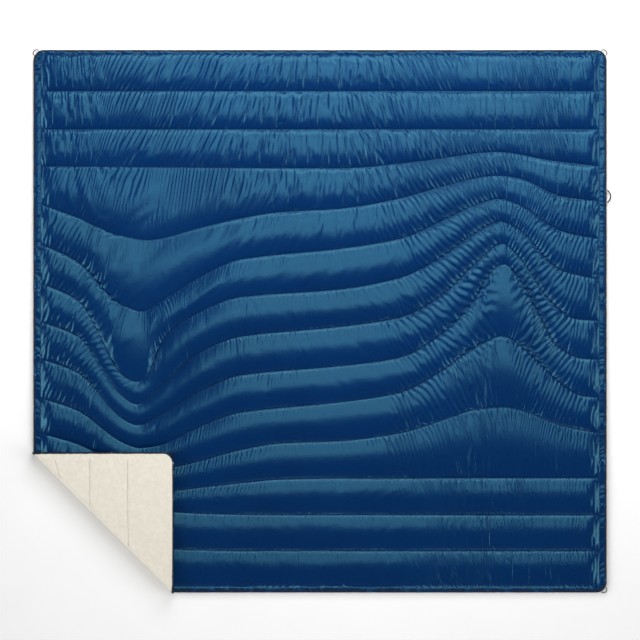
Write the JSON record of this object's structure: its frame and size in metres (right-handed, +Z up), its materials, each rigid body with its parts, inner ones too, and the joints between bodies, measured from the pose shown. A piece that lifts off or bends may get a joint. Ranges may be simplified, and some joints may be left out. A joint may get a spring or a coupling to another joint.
{
  "type": "camp blanket",
  "caption": "Two-person quilted camp blanket with a glossy woven shell, wavy stitched channels, a pile back, bound edges and cord loops, one corner folded over.",
  "frame": {"origin": "centre of the blanket's underside, on the surface that it lies on, measured without the cord loops", "axes": "+Z up, square to the blanket; X along its width; +Y from foot to head"},
  "size_m": [2.1533, 2.0248, 0.0564],
  "materials": {
    "shell": "satin",
    "sherpa": "matte",
    "filling": "matte",
    "binding": "matte",
    "blue_thread": "satin",
    "dark_thread": "satin",
    "cream_thread": "satin",
    "cord": "matte"
  },
  "bodies": {
    "blanket": {"sherpa_back": "sherpa", "insulation": "filling", "face_shell": "shell", "edge_binding": "binding", "binding_stitching": "dark_thread", "edge_topstitch": "blue_thread", "back_stitching": "cream_thread", "loop_tails": "cord", "quilt_row_01": "blue_thread", "quilt_row_02": "blue_thread", "quilt_row_03": "blue_thread", "quilt_row_04": "blue_thread", "quilt_row_05": "blue_thread", "quilt_row_06": "blue_thread", "quilt_row_07": "blue_thread", "quilt_row_08": "blue_thread", "quilt_row_09": "blue_thread", "quilt_row_10": "blue_thread", "quilt_row_11": "blue_thread", "quilt_row_12": "blue_thread", "quilt_row_13": "blue_thread"},
    "corner_flap": {"corner_sherpa": "sherpa", "corner_insulation": "filling", "corner_shell": "shell", "corner_binding": "binding", "corner_binding_stitching": "dark_thread", "corner_topstitch": "blue_thread", "corner_back_stitching": "cream_thread", "corner_row_11": "blue_thread", "corner_row_12": "blue_thread", "corner_row_13": "blue_thread", "corner_loop_tails": "cord"},
    "head_left_loop": {"loop_head_left": "cord"},
    "head_right_loop": {"loop_head_right": "cord"},
    "foot_right_loop": {"loop_foot_right": "cord"},
    "foot_left_loop": {"loop_foot_left": "cord"},
    "side_loop": {"loop_side": "cord"}
  },
  "joints": [
    {"name": "corner_fold", "type": "hinge", "parent": "blanket", "child": "corner_flap", "pos_m": [-0.805, -0.748, 0.0282], "axis": [0.7071, -0.7071, 0], "range_deg": [0, 180]},
    {"name": "head_left_loop_lift", "type": "hinge", "parent": "blanket", "child": "head_left_loop", "pos_m": [-1.0568, 0.9998, 0.007], "axis": [0.7071, 0.7071, 0], "range_deg": [0, 90]},
    {"name": "head_right_loop_lift", "type": "hinge", "parent": "blanket", "child": "head_right_loop", "pos_m": [1.0568, 0.9998, 0.007], "axis": [0.7071, -0.7071, 0], "range_deg": [0, 90]},
    {"name": "foot_right_loop_lift", "type": "hinge", "parent": "blanket", "child": "foot_right_loop", "pos_m": [1.0568, -0.9998, 0.007], "axis": [-0.7071, -0.7071, 0], "range_deg": [0, 90]},
    {"name": "foot_left_loop_lift", "type": "hinge", "parent": "corner_flap", "child": "foot_left_loop", "pos_m": [-0.5532, -0.4962, 0.0494], "axis": [-0.7071, 0.7071, 0], "range_deg": [0, 90]},
    {"name": "side_loop_lift", "type": "hinge", "parent": "blanket", "child": "side_loop", "pos_m": [1.06965, 0.465, 0.007], "axis": [0, -1, 0], "range_deg": [0, 90]}
  ]
}
